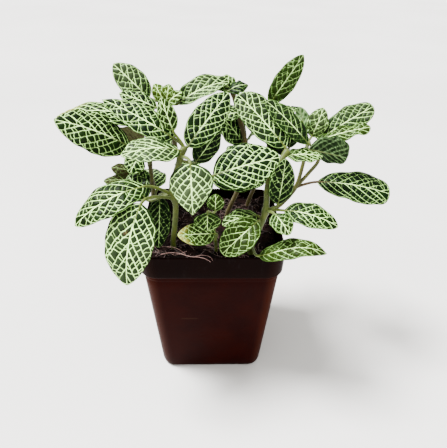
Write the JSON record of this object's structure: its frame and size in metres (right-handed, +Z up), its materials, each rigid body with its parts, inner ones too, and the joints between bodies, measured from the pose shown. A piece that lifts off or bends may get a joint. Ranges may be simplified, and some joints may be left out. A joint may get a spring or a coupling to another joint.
{
  "type": "potted nerve plant",
  "caption": "Nerve plant with white-veined green leaves on leafy stems, standing in peat in a small square plastic nursery pot.",
  "frame": {"origin": "centre of the pot's underside", "axes": "+Z up, -Y towards the side that faces the camera, +X to the right of that view; the pot's sides face along X and Y"},
  "size_m": [0.1572, 0.1025, 0.1572],
  "materials": {
    "pot_plastic": "thin, dark brown-black, smooth and slightly glossy",
    "peat": "dark crumbly peat",
    "foliage": "soft green leaves with a net of cream-white veins"
  },
  "bodies": {
    "root": {"pot": "pot_plastic", "soil": "peat", "stem_front_left": "foliage", "stem_front_right": "foliage", "stem_right": "foliage", "stem_back_right": "foliage", "stem_centre": "foliage", "stem_back_left": "foliage", "stem_left": "foliage", "shoot_front": "foliage"}
  },
  "joints": []
}
